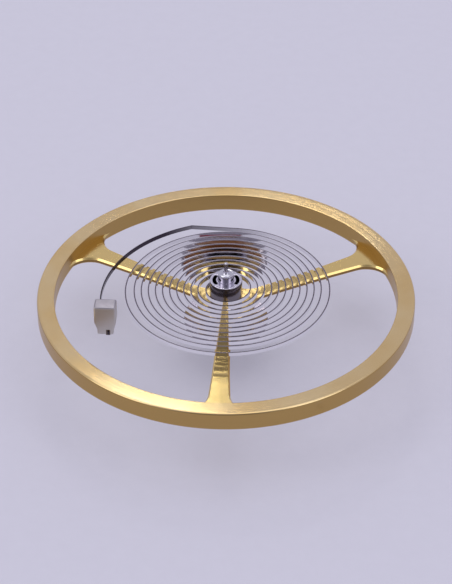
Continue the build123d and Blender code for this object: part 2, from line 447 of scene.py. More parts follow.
class Board:
    """The nodes of one material or of the world."""

    def __init__(self, tree: bpy.types.NodeTree) -> None:
        """Empties a node tree and takes it over."""
        self.tree = tree
        self.tree.nodes.clear()

    def node(
        self, kind: str, settings: Mapping[str, object], inputs: Mapping[str | int, Value]
    ) -> bpy.types.Node:
        """Makes a node.

        Args:
            kind: the node's type.
            settings: its own properties, set before its sockets.
            inputs: a value or a link for each named or numbered socket.

        Returns:
            The node.
        """
        made = self.tree.nodes.new(kind)
        for key, value in settings.items():
            setattr(made, key, value)
        for key, value in inputs.items():
            self.feed(made.inputs[key], value)
        return made

    def feed(self, socket: bpy.types.NodeSocket, value: Value) -> None:
        """Links a socket to a signal or another socket, or sets its value.

        Args:
            socket: the socket that takes it in.
            value: the signal, the socket, the number or the colour. A colour of three numbers is opaque.
        """
        if isinstance(value, Signal):
            value = value.socket
        if isinstance(value, bpy.types.NodeSocket):
            self.tree.links.new(value, socket)
            return
        if isinstance(value, tuple) and len(value) == 3 and socket.type == "RGBA":
            value = (*value, 1.0)
        socket.default_value = value

    def place(self) -> bpy.types.NodeSocket:
        """The place on the piece, in millimetres."""
        return self.vector("SCALE", self.node("ShaderNodeTexCoord", {}, {}).outputs["Object"], 1 / MM)

    def parts_of(self, vector: bpy.types.NodeSocket) -> tuple[Signal, Signal, Signal]:
        """The three numbers of a vector.

        Args:
            vector: the vector.

        Returns:
            Its X, its Y and its Z.
        """
        split = self.node("ShaderNodeSeparateXYZ", {}, {0: vector})
        x, y, z = (Signal(self, socket) for socket in split.outputs)
        return x, y, z

    def vector_of(self, x: Signal | float, y: Signal | float, z: Signal | float) -> bpy.types.NodeSocket:
        """The vector of three numbers."""
        return self.node("ShaderNodeCombineXYZ", {}, {0: x, 1: y, 2: z}).outputs[0]

    def cloud(self, where: bpy.types.NodeSocket, per_mm: float, detail: float = 2.0) -> Signal:
        """Soft noise in space.

        Args:
            where: the place that it is read at.
            per_mm: how many blotches go into a millimetre.
            detail: how many finer layers it has.

        Returns:
            A signal about 0.5.
        """
        made = self.node("ShaderNodeTexNoise", {}, {"Vector": where, "Scale": per_mm, "Detail": detail})
        return Signal(self, made.outputs[0])

    def lines(self, across: Signal, detail: float = 3.0) -> Signal:
        """Parallel tool marks.

        Args:
            across: a signal that grows by 1 from mark to mark.
            detail: how many finer layers they have.

        Returns:
            A signal about 0.5.
        """
        made = self.node(
            "ShaderNodeTexNoise", {"noise_dimensions": "1D"}, {"W": across, "Scale": 1.0, "Detail": detail}
        )
        return Signal(self, made.outputs[0])

    def between(self, mask: Signal, low: float, high: float) -> Signal:
        """The mask stretched so that low becomes 0 and high becomes 1, with nothing beyond them."""
        made = self.node("ShaderNodeMapRange", {"clamp": True}, {"Value": mask, "From Min": low, "From Max": high})
        return Signal(self, made.outputs[0])

    def mix(self, mask: Signal, first: Value, second: Value) -> bpy.types.NodeSocket:
        """The first colour where the mask is 0 and the second where it is 1."""
        made = self.node("ShaderNodeMix", {"data_type": "RGBA"}, {0: mask, 6: first, 7: second})
        return made.outputs[2]

    def vector(self, operation: str, *values: Value) -> bpy.types.NodeSocket:
        """A Vector Math node on the values, in their order; for a scaling the second is the number."""
        inputs = {0: values[0], "Scale": values[1]} if operation == "SCALE" else dict(enumerate(values))
        return self.node("ShaderNodeVectorMath", {"operation": operation}, inputs).outputs[0]

    def blend(self, mask: Signal, first: bpy.types.Node, second: bpy.types.Node) -> bpy.types.Node:
        """The first shader where the mask is 0 and the second where it is 1."""
        return self.node("ShaderNodeMixShader", {}, {0: mask, 1: first.outputs[0], 2: second.outputs[0]})

    def rays(self) -> tuple[Signal, Signal]:
        """Tells apart the rays that arrive at a place.

        Returns:
            1 for what the camera sees straight, and 1 for what it sees in something shiny or through something clear.
        """
        path = self.node("ShaderNodeLightPath", {}, {}).outputs
        names = ("Is Camera Ray", "Is Glossy Ray", "Is Transmission Ray")
        seen, mirrored, through = (Signal(self, path[name]) for name in names)
        return seen, mirrored | through


class Surface(Board):
    """The nodes of one material, with a metal, glass or plain surface at their end."""

    def __init__(self, name: str, constants: Mapping[str, Value]) -> None:
        """Starts a material.

        Args:
            name: the material's name.
            constants: the numbers and colours that are the same all over, by the surface's socket.
        """
        self.material = bpy.data.materials.new(name)
        self.material.use_nodes = True
        super().__init__(self.material.node_tree)
        self.principled = self.node("ShaderNodeBsdfPrincipled", {}, dict(constants))
        self.node("ShaderNodeOutputMaterial", {}, {"Surface": self.principled.outputs["BSDF"]})

    def set(self, name: str, value: Value) -> None:
        """Feeds one socket of the surface."""
        self.feed(self.principled.inputs[name], value)

    def upright(self, wall: float = 0.28, face: float = 0.44) -> Signal:
        """How far the surface faces up or down on the piece.

        Args:
            wall: the square of the normal's height up to which it is a wall.
            face: the square of the normal's height from which it is a flat face.

        Returns:
            0 on a wall and 1 on a flat face.
        """
        facing = self.parts_of(self.node("ShaderNodeTexCoord", {}, {}).outputs["Normal"])[2]
        return self.between(facing * facing, wall, face)

    def bump(self, height: Signal, depth: float) -> None:
        """Raises the surface by a signal of 0 to 1, depth in millimetres."""
        made = self.node("ShaderNodeBump", {}, {"Height": height, "Distance": depth * MM, "Strength": 1.0})
        self.set("Normal", made.outputs[0])

    def groove(self, x: Signal, y: Signal, slope: Signal) -> None:
        """Tilts the surface across marks that run round the staff.

        Args:
            x: the place along +X on the piece.
            y: the place along +Y on the piece.
            slope: the tangent of the tilt.
        """
        normal = self.node("ShaderNodeNewGeometry", {}, {}).outputs["Normal"]
        around = self.node(
            "ShaderNodeVectorTransform",
            {"vector_type": "VECTOR", "convert_from": "OBJECT", "convert_to": "WORLD"},
            {0: self.vector_of(0.0 - y, x, 0.0)},
        ).outputs[0]
        across = self.vector("CROSS_PRODUCT", normal, self.vector("NORMALIZE", around))
        tilted = self.vector("ADD", normal, self.vector("SCALE", across, slope))
        self.set("Normal", self.vector("NORMALIZE", tilted))


# ---- Finishes ----


@dataclass(frozen=True)
class GiltFinish:
    """Gilt bronze: bright turned marks on the rim's face, a finer grain on the arms, and rougher walls painted darker
    as painted shade.
    """

    name: str = "gilt_bronze"
    fresh: Colour = (0.800, 0.620, 0.325)
    deep: Colour = (0.730, 0.520, 0.225)
    arm_face: Colour = (0.810, 0.605, 0.235)
    # The wall colours are painted shade: the rim's walls darker than its face, the arms' walls darker still.
    wall: Colour = (0.500, 0.325, 0.115)
    painted_shade_arm_wall: Colour = (0.330, 0.200, 0.070)
    face_roughness: float = 0.13
    wall_roughness: float = 0.30
    marks_per_mm: float = 190.0
    marks_detail: float = 2.0
    marks_per_rise: float = 0.8
    mark_roughness: float = 0.04
    wear_per_mm: float = 0.7
    wear_detail: float = 3.0
    wear_roughness: float = 0.06
    marks_in_wear: float = 0.3
    wear_start: float = 0.45
    wear_end: float = 0.85
    rim_slope: float = 0.44
    arm_slope: float = 0.16
    rim_from_height: float = 1.95
    rim_all_height: float = 2.05
    rim_from_radius: float = 4.48
    rim_all_radius: float = 4.51

    def make(self) -> bpy.types.Material:
        """Builds the material.

        Returns:
            The material.
        """
        board = Surface(self.name, {"Metallic": 1.0})
        place = board.place()
        x, y, z = board.parts_of(place)
        radius = (x * x + y * y) ** 0.5
        marks = board.lines((radius + z * self.marks_per_rise) * self.marks_per_mm, self.marks_detail)
        worn = board.cloud(place, self.wear_per_mm, self.wear_detail)
        flat = board.upright()
        on_rim = board.between(z, self.rim_from_height, self.rim_all_height)
        wear = board.between(worn + marks * self.marks_in_wear, self.wear_start, self.wear_end)
        face = board.mix(on_rim, self.arm_face, board.mix(wear, self.fresh, self.deep))
        # Painted shade: by the facing mask, walls take the darker wall colours and flat faces the gilt.
        wall = board.mix(board.between(radius, self.rim_from_radius, self.rim_all_radius), self.painted_shade_arm_wall, self.wall)
        board.set("Base Color", board.mix(flat, wall, face))
        smooth = self.wall_roughness + flat * (self.face_roughness - self.wall_roughness)
        board.set("Roughness", smooth + marks.swing(self.mark_roughness) + worn.swing(self.wear_roughness))
        slope = self.arm_slope + on_rim * (self.rim_slope - self.arm_slope)
        board.groove(x, y, marks.swing(2.0) * slope)
        return board.material


@dataclass(frozen=True)
class SteelFinish:
    """Worked steel: turned round the staff, or drawn along one direction."""

    name: str
    light: Colour
    dark: Colour
    # The wall colour is painted light and shade on the walls: lighter than the faces on the stud, darker on the
    # roller and the collet.
    wall: Colour
    grain: Grain
    roughness: float
    marks_per_mm: float = 40.0
    mark_depth: float = 0.0005
    mark_roughness: float = 0.08
    marks_in_tint: float = 0.4
    slant: float = 0.9
    clouds_per_mm: float = 3.0
    cloud_roughness: float = 0.06
    clouds_in_tint: float = 0.6
    tint_start: float = 0.35
    tint_end: float = 0.7

    def make(self) -> bpy.types.Material:
        """Builds the material.

        Returns:
            The material.
        """
        board = Surface(self.name, {"Metallic": 1.0})
        place = board.place()
        x, y, z = board.parts_of(place)
        if self.grain is Grain.TURNED:
            across = (x * x + y * y) ** 0.5 + z
        else:
            across = x + y * self.slant
        marks = board.lines(across * self.marks_per_mm)
        cloudy = board.cloud(place, self.clouds_per_mm)
        tint = cloudy * self.clouds_in_tint + marks * self.marks_in_tint
        face = board.mix(board.between(tint, self.tint_start, self.tint_end), self.light, self.dark)
        # Painted light and shade: walls take the wall colour, flat faces the worked tint.
        board.set("Base Color", board.mix(board.upright(), self.wall, face))
        rough = marks.swing(self.mark_roughness) + cloudy.swing(self.cloud_roughness)
        board.set("Roughness", self.roughness + rough)
        board.bump(marks, self.mark_depth)
        return board.material


@dataclass(frozen=True)
class SpringFinish:
    """Rolled spring alloy: bright faces, edges painted dark violet as painted shade, and an end curve painted near
    black as painted reflection.
    """

    name: str = "spring_alloy"
    light: Colour = (0.96, 0.95, 0.97)
    dark: Colour = (0.84, 0.83, 0.86)
    # The edge colour is painted shade for the dark lines between the coils; the end curve's colour is a painted
    # reflection of the shade under the wheel.
    edge: Colour = (0.19, 0.165, 0.20)
    painted_reflection_end_curve: Colour = (0.055, 0.044, 0.060)
    end_curve_from: float = 122.0
    end_curve_all: float = 125.0
    roughness: float = 0.05
    edge_roughness: float = 0.06
    drawn_roughness: float = 0.05
    drawn_along: float = 0.5
    drawn_across: float = 60.0
    tint_per_mm: float = 0.35
    tint_start: float = 0.3
    tint_end: float = 0.7
    attribute: str = "strip_place"
    half_height: float = 0.055
    edge_height: float = 0.005

    def make(self) -> bpy.types.Material:
        """Builds the material.

        Returns:
            The material.
        """
        board = Surface(self.name, {"Metallic": 1.0})
        strip = board.node(
            "ShaderNodeAttribute", {"attribute_type": "GEOMETRY", "attribute_name": self.attribute}, {}
        ).outputs["Vector"]
        along, across, up = board.parts_of(strip)
        fine = self.drawn_across
        drawn = board.cloud(board.vector_of(along * self.drawn_along, across * fine, up * fine), 1.0)
        tint = board.cloud(board.vector_of(along, across, 0.0), self.tint_per_mm)
        off_middle = (up - self.half_height) ** 2.0
        # Painted shade: a band edge_height tall along the top and bottom of each face takes the dark edge colour, and
        # is also rougher.
        painted_shade_edge_band = board.between(off_middle, (self.half_height - self.edge_height) ** 2, self.half_height**2)
        coils = board.mix(board.between(tint, self.tint_start, self.tint_end), self.light, self.dark)
        # Painted reflection: past end_curve_from the strip turns near black.
        painted_reflection_at_end = board.between(along, self.end_curve_from, self.end_curve_all)
        board.set("Base Color", board.mix(painted_reflection_at_end, board.mix(painted_shade_edge_band, coils, self.edge), self.painted_reflection_end_curve))
        board.set("Roughness", self.roughness + drawn.swing(self.drawn_roughness) + painted_shade_edge_band * self.edge_roughness)
        return board.material


@dataclass(frozen=True)
class RubyFinish:
    """Synthetic ruby, polished all over."""

    name: str = "ruby"
    light: Colour = (0.50, 0.035, 0.080)
    dark: Colour = (0.34, 0.010, 0.036)
    index: float = 1.76
    clear: float = 0.6
    clouds_per_mm: float = 4.0
    tint_start: float = 0.35
    tint_end: float = 0.65
    roughness: float = 0.04
    cloud_roughness: float = 0.06

    def make(self) -> bpy.types.Material:
        """Builds the material.

        Returns:
            The material.
        """
        board = Surface(self.name, {"IOR": self.index, "Transmission Weight": self.clear})
        depth = board.cloud(board.place(), self.clouds_per_mm)
        tint = board.between(depth, self.tint_start, self.tint_end)
        board.set("Base Color", board.mix(tint, self.light, self.dark))
        board.set("Roughness", self.roughness + depth * self.cloud_roughness)
        return board.material


@dataclass(frozen=True)
class ResinFinish:
    """A drop of hardened resin: shellac or cement."""

    name: str
    light: Colour
    dark: Colour
    clear: float
    index: float = 1.52
    coat_roughness: float = 0.1
    blotches_per_mm: float = 9.0
    blotch_detail: float = 3.0
    tint_start: float = 0.35
    tint_end: float = 0.65
    roughness: float = 0.16
    blotch_roughness: float = 0.2
    blotch_coat: float = 0.6
    blotch_depth: float = 0.003

    def make(self) -> bpy.types.Material:
        """Builds the material.

        Returns:
            The material.
        """
        constants = {"IOR": self.index, "Transmission Weight": self.clear, "Coat Roughness": self.coat_roughness}
        board = Surface(self.name, constants)
        blotch = board.cloud(board.place(), self.blotches_per_mm, self.blotch_detail)
        tint = board.between(blotch, self.tint_start, self.tint_end)
        board.set("Base Color", board.mix(tint, self.light, self.dark))
        board.set("Roughness", self.roughness + blotch * self.blotch_roughness)
        board.set("Coat Weight", blotch * self.blotch_coat)
        board.bump(blotch, self.blotch_depth)
        return board.material


# ---- The pieces ----


def settled(made: bpy.types.Object, node: str, body: Body) -> bpy.types.Object:
    """Puts a piece in the place of a node of the same kind.

    Args:
        made: the piece.
        node: the node that it stands for.
        body: the body that carries it.

    Returns:
        The piece.
    """
    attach(made, body.value)
    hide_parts(node)
    return made


@dataclass
class BalanceWheel:
    """The gilt wheel: a ring with three waisted arms and one poising pit."""

    outer_radius: float = 5.0
    width: float = 0.46
    bottom: float = 1.65
    top: float = 2.15
    edge: float = 0.03
    outer_edge: float = 0.06
    web_bottom: float = 1.68
    web_top: float = 1.85
    web_edge: float = 0.045
    seat_radius: float = 0.36
    hub_radius: float = 0.76
    arm_count: int = 3
    first_arm_angle: float = 267.5
    waist_distance: float = 1.80
    waist_width: float = 0.39
    hub_width: float = 0.40
    rim_width: float = 0.66
    hub_rounding: float = 0.36
    rim_rounding: float = 0.60
    pit_radius: float = 0.16
    pit_depth: float = 0.10
    pit_angle: float = 297.6
    steps_round: int = 300
    bore_steps: int = 100
    drill_steps: int = 48
    hub_step: float = radians(3)
    side_step: float = radians(1.2)
    finish: GiltFinish = GiltFinish()

    @property
    def inner_radius(self) -> float:
        """The radius of the ring's inner wall."""
        return self.outer_radius - self.width

    def arm_edge_point(self, along: float, width: float) -> complex:
        """A point on the edge of the arm above a window's middle line, which lies on +X."""
        return complex(along, -width / 2) * rect(1, pi / self.arm_count)

    def window(self) -> list[complex]:
        """Draws the window between two arms.

        Returns:
            Its outline, with its middle line on +X.
        """
        hub, rim = self.hub_radius, self.inner_radius
        hub_end = self.arm_edge_point(sqrt(hub**2 - (self.hub_width / 2) ** 2), self.hub_width)
        waist = self.arm_edge_point(self.waist_distance, self.waist_width)
        rim_end = self.arm_edge_point(sqrt(rim**2 - (self.rim_width / 2) ** 2), self.rim_width)
        centre, radius = circle_through(hub_end, waist, rim_end)
        hub_corner = circles_meet(0j, hub + self.hub_rounding, centre, radius - self.hub_rounding, hub_end)
        rim_corner = circles_meet(0j, rim - self.rim_rounding, centre, radius - self.rim_rounding, rim_end)
        on_hub = hub_corner / abs(hub_corner) * hub
        on_rim = rim_corner / abs(rim_corner) * rim
        hub_side, rim_side = (
            centre + (corner - centre) / abs(corner - centre) * radius for corner in (hub_corner, rim_corner)
        )
        half = short_arc(0j, complex(hub), on_hub, self.hub_step)[:-1]
        half += short_arc(hub_corner, on_hub, hub_side, FILLET_STEP)[:-1]
        half += short_arc(centre, hub_side, rim_side, self.side_step)[:-1]
        half += short_arc(rim_corner, rim_side, on_rim, FILLET_STEP)[:-1]
        half += short_arc(0j, on_rim, complex(rim), self.side_step)
        return half + [point.conjugate() for point in half[-2:0:-1]]

    def web(self) -> bpy.types.Mesh:
        """Makes the hub and the arms, reaching into the ring.

        Returns:
            The mesh.
        """
        middle = radians(self.first_arm_angle) + pi / self.arm_count
        outlines = [
            circle(self.inner_radius + self.width / 2, self.steps_round),
            circle(self.seat_radius, self.bore_steps),
        ]
        for i in range(self.arm_count):
            turn = rect(1, middle + FULL_TURN * i / self.arm_count)
            outlines.append([point * turn for point in self.window()])
        return plate(outlines, self.web_bottom, self.web_top, self.web_edge, 0)

    def ring(self) -> bpy.types.Mesh:
        """Turns the rim, with its edges rounded.

        Returns:
            The mesh.
        """
        corners = [
            (self.inner_radius, self.bottom, self.edge),
            (self.outer_radius, self.bottom, self.edge),
            (self.outer_radius, self.top, self.outer_edge),
            (self.inner_radius, self.top, self.edge),
        ]
        return turned(eased(corners), self.steps_round)

    def pit(self) -> bpy.types.Mesh:
        """Makes the drill point that leaves the poising pit, twice as long as the pit is deep.

        Returns:
            The mesh, in its place in the rim.
        """
        end = complex(0, self.pit_depth * 2)
        drill = turned([0j, end + self.pit_radius * 2, end], self.drill_steps)
        outwards = heading(self.pit_angle)
        tip = outwards * (self.outer_radius - self.pit_depth)
        aim = Vector((outwards.real, outwards.imag, 0.0)).to_track_quat("Z", "Y").to_matrix().to_4x4()
        drill.transform(Matrix.Translation((tip.real, tip.imag, (self.bottom + self.top) / 2)) @ aim)
        return drill

    def build(self) -> bpy.types.Object:
        """Builds the wheel.

        Returns:
            The wheel, in its place.
        """
        mesh = joined(joined(self.ring(), self.web(), Joining.UNION), self.pit(), Joining.DIFFERENCE)
        made = piece("gilt_wheel", mesh, self.finish.make())
        return settled(made, "balance_wheel", Body.SWINGING)


@dataclass
class BalanceStaff:
    """The turned staff, from the tip of its lower pivot to the tip of its upper one."""

    pivot_radius: float = 0.05
    pivot_length: float = 0.22
    pivot_end: float = 0.02
    lower_cone_length: float = 0.20
    upper_cone_length: float = 0.12
    roller_seat_radius: float = 0.23
    flange_radius: float = 0.58
    flange_bottom: float = 1.50
    flange_bevel: float = 0.10
    wheel_seat_radius: float = 0.36
    web_bottom: float = 1.68
    web_top: float = 1.85
    rivet_radius: float = 0.44
    rivet_top: float = 1.89
    rivet_slope: float = 0.035
    rivet_edge: float = 0.006
    rivet_crown: float = 0.012
    groove_width: float = 0.03
    groove_depth: float = 0.02
    groove_edge: float = 0.01
    collet_seat_radius: float = 0.21
    top: float = 3.10
    turn_mark: float = 0.008
    steps_round: int = 120
    cone_step: float = radians(8)
    tip_step: float = 0.3
    finish: SteelFinish = SteelFinish(
        "polished_steel", (0.66, 0.66, 0.70), (0.54, 0.53, 0.58), (0.60, 0.58, 0.66), Grain.TURNED, 0.15
    )

    def cone(self, seat_radius: float, seat_height: float, pivot_height: float) -> Section:
        """The flared cone between a seat and its pivot, from the seat to the pivot.

        Args:
            seat_radius: the seat's radius.
            seat_height: the height of the seat's end.
            pivot_height: the height at which the pivot starts.

        Returns:
            The points of an arc that leaves the pivot along its side.
        """
        drop = pivot_height - seat_height
        flare = (drop**2 + (seat_radius - self.pivot_radius) ** 2) / (2 * (seat_radius - self.pivot_radius))
        centre = complex(self.pivot_radius + flare, pivot_height)
        start, end = complex(seat_radius, seat_height), complex(self.pivot_radius, pivot_height)
        return short_arc(centre, start, end, self.cone_step)

    def section(self) -> Section:
        """Draws the staff's half section.

        Returns:
            Its points, from the lower tip up.
        """
        flat, side = self.pivot_radius - self.pivot_end, self.pivot_radius
        low, high = self.pivot_end, self.top - self.pivot_end
        lower_cone_top = self.pivot_length + self.lower_cone_length
        upper_pivot_bottom = self.top - self.pivot_length
        collet_seat_top = upper_pivot_bottom - self.upper_cone_length
        points: Section = [0j]
        points += short_arc(complex(flat, low), complex(flat), complex(side, low), self.tip_step)
        points += self.cone(self.roller_seat_radius, lower_cone_top, self.pivot_length)[::-1]
        points += eased(
            [
                (self.roller_seat_radius, lower_cone_top + APART, 0),
                (self.roller_seat_radius, self.flange_bottom, 0),
                (self.flange_radius - self.flange_bevel, self.flange_bottom, self.turn_mark),
                (self.flange_radius, self.flange_bottom + self.flange_bevel, self.turn_mark),
                (self.flange_radius, self.web_bottom, self.turn_mark),
                (self.wheel_seat_radius, self.web_bottom, 0),
                (self.wheel_seat_radius, self.web_top, 0),
                (self.rivet_radius, self.web_top, self.rivet_edge),
                (self.rivet_radius - self.rivet_slope, self.rivet_top, self.rivet_crown),
                (self.collet_seat_radius + self.groove_width, self.rivet_top, self.groove_edge),
                (self.collet_seat_radius, self.rivet_top - self.groove_depth, 0),
                (self.collet_seat_radius, collet_seat_top - APART, 0),
            ]
        )
        points += self.cone(self.collet_seat_radius, collet_seat_top, upper_pivot_bottom)
        points += short_arc(complex(flat, high), complex(side, high), complex(flat, self.top), self.tip_step)
        points.append(complex(0, self.top))
        return points

    def build(self) -> bpy.types.Object:
        """Builds the staff and puts it in its place."""
        made = piece("turned_staff", turned(self.section(), self.steps_round), self.finish.make())
        return settled(made, "balance_staff", Body.SWINGING)


@dataclass
class DoubleRoller:
    """The impulse disc and the safety roller in one piece, with the jewel and the shellac that holds it."""

    bore_radius: float = 0.23
    safety_radius: float = 0.46
    safety_bottom: float = 0.80
    safety_top: float = 1.00
    neck_radius: float = 0.34
    disc_radius: float = 1.12
    disc_bottom: float = 1.17
    disc_top: float = 1.35
    boss_top: float = 1.50
    edge: float = 0.02
    crescent_radius: float = 0.17
    crescent_depth: float = 0.12
    jewel_angle: float = 87.5
    jewel_distance: float = 0.82
    jewel_radius: float = 0.18
    jewel_flat: float = 0.07
    jewel_bottom: float = 0.73
    jewel_edge: float = 0.012
    jewel_clearance: float = 0.005
    shellac_radius: float = 0.26
    shellac_height: float = 0.05
    shellac_size: float = 0.96
    waves: float = 0.04
    waves_per_mm: float = 9.0
    steps_round: int = 180
    crescent_steps: int = 60
    drop_steps: int = 72
    drop_rings: int = 9
    # Painted shade: the roller's walls are painted far darker than its faces.
    steel: SteelFinish = SteelFinish(
        "roller_steel", (0.54, 0.50, 0.55), (0.43, 0.39, 0.44), (0.32, 0.30, 0.33), Grain.TURNED, 0.13
    )
    ruby: RubyFinish = RubyFinish()
    shellac: ResinFinish = ResinFinish("shellac", (0.36, 0.13, 0.03), (0.20, 0.06, 0.015), 0.35)

    def jewel_outline(self, clearance: float) -> list[complex]:
        """Draws the jewel's D in its place, its flat away from the staff.

        Args:
            clearance: how much larger it is all round.

        Returns:
            The outline.
        """
        radius, flat = self.jewel_radius + clearance, self.jewel_flat + clearance
        half = acos(flat / radius)
        outline = arc(0j, rect(radius, half), FULL_TURN - 2 * half, FILLET_STEP)
        return [(point + self.jewel_distance) * heading(self.jewel_angle) for point in outline]

    def roller_mesh(self) -> bpy.types.Mesh:
        """Turns the roller, and cuts its crescent and the jewel's hole.

        Returns:
            The mesh.
        """
        section = eased(
            [
                (self.bore_radius, self.safety_bottom, 0),
                (self.safety_radius, self.safety_bottom, self.edge),
                (self.safety_radius, self.safety_top, self.edge),
                (self.neck_radius, self.safety_top, self.edge),
                (self.neck_radius, self.disc_bottom, self.edge),
                (self.disc_radius, self.disc_bottom, self.edge),
                (self.disc_radius, self.disc_top, self.edge),
                (self.neck_radius, self.disc_top, self.edge),
                (self.neck_radius, self.boss_top, self.edge),
                (self.bore_radius, self.boss_top, 0),
            ]
        )
        centre = (self.safety_radius + self.crescent_radius - self.crescent_depth) * heading(self.jewel_angle)
        scoop = [centre + point for point in circle(self.crescent_radius, self.crescent_steps)]
        crescent = prism(scoop, self.safety_bottom - PAST, self.safety_top + PAST)
        hole = prism(self.jewel_outline(self.jewel_clearance), self.disc_bottom - PAST, self.disc_top + PAST)
        body = joined(turned(section, self.steps_round), crescent, Joining.DIFFERENCE)
        return joined(body, hole, Joining.DIFFERENCE)

    def shellac_mesh(self) -> bpy.types.Mesh:
        """Makes a low uneven drop on top of the jewel.

        Returns:
            The mesh.
        """
        dome_radius = (self.shellac_radius**2 + self.shellac_height**2) / (2 * self.shellac_height)
        section: Section = [0j]
        for i in range(self.drop_rings + 1):
            across = self.shellac_radius * cos(pi / 2 * i / self.drop_rings)
            section.append(complex(across, sqrt(dome_radius**2 - across**2) - dome_radius + self.shellac_height))
        mesh = turned(section, self.drop_steps)
        for vertex in mesh.vertices:
            vertex.co *= self.shellac_size + noise.noise(vertex.co * self.waves_per_mm) * self.waves
        centre = heading(self.jewel_angle) * self.jewel_distance
        mesh.transform(Matrix.Translation((centre.real, centre.imag, self.disc_top)))
        return mesh

    def build(self) -> list[bpy.types.Object]:
        """Builds the three pieces.

        Returns:
            The roller, the jewel and the shellac, in their places.
        """
        roller = piece("roller_table", self.roller_mesh(), self.steel.make())
        pin = plate([self.jewel_outline(0.0)], self.jewel_bottom, self.disc_top, self.jewel_edge)
        jewel = piece("roller_jewel", pin, self.ruby.make())
        drop = piece("shellac_drop", self.shellac_mesh(), self.shellac.make())
        return [
            settled(roller, "double_roller", Body.SWINGING),
            settled(jewel, "impulse_jewel", Body.SWINGING),
            settled(drop, "jewel_shellac", Body.SWINGING),
        ]


@dataclass
class Collet:
    """The ring that grips the staff and carries the spring, with its two curved openings."""

    radius: float = 0.43
    bore_radius: float = 0.21
    bottom: float = 1.92
    top: float = 2.56
    edge: float = 0.015
    opening_distance: float = 0.31
    opening_width: float = 0.09
    opening_span: float = 62.0
    steps_round: int = 120
    bore_steps: int = 90
    side_step: float = radians(5)
    end_step: float = radians(15)
    # Painted shade and reflection: the collet's walls are painted near black.
    finish: SteelFinish = SteelFinish(
        "collet_steel", (0.64, 0.62, 0.69), (0.50, 0.48, 0.56), (0.20, 0.18, 0.20), Grain.TURNED, 0.20
    )

    def opening(self, middle: float) -> list[complex]:
        """Draws one curved opening.

        Args:
            middle: the plan angle of its middle.

        Returns:
            Its outline.
        """
        distance, span = self.opening_distance, radians(self.opening_span)
        first, last = (heading(middle + side * self.opening_span / 2) for side in (-1, 1))
        inner, outer = (distance + side * self.opening_width / 2 for side in (-1, 1))
        outline = arc(0j, first * outer, span, self.side_step)[:-1]
        outline += arc(last * distance, last * outer, pi, self.end_step)[:-1]
        outline += arc(0j, last * inner, -span, self.side_step)[:-1]
        outline += arc(first * distance, first * inner, pi, self.end_step)[:-1]
        return outline

    def build(self) -> bpy.types.Object:
        """Builds the collet.

        Returns:
            The collet, in its place.
        """
        outlines = [circle(self.radius, self.steps_round), circle(self.bore_radius, self.bore_steps)]
        outlines += [self.opening(0.0), self.opening(HALF_TURN)]
        made = piece("pressed_collet", plate(outlines, self.bottom, self.top, self.edge), self.finish.make())
        return settled(made, "collet", Body.SWINGING)


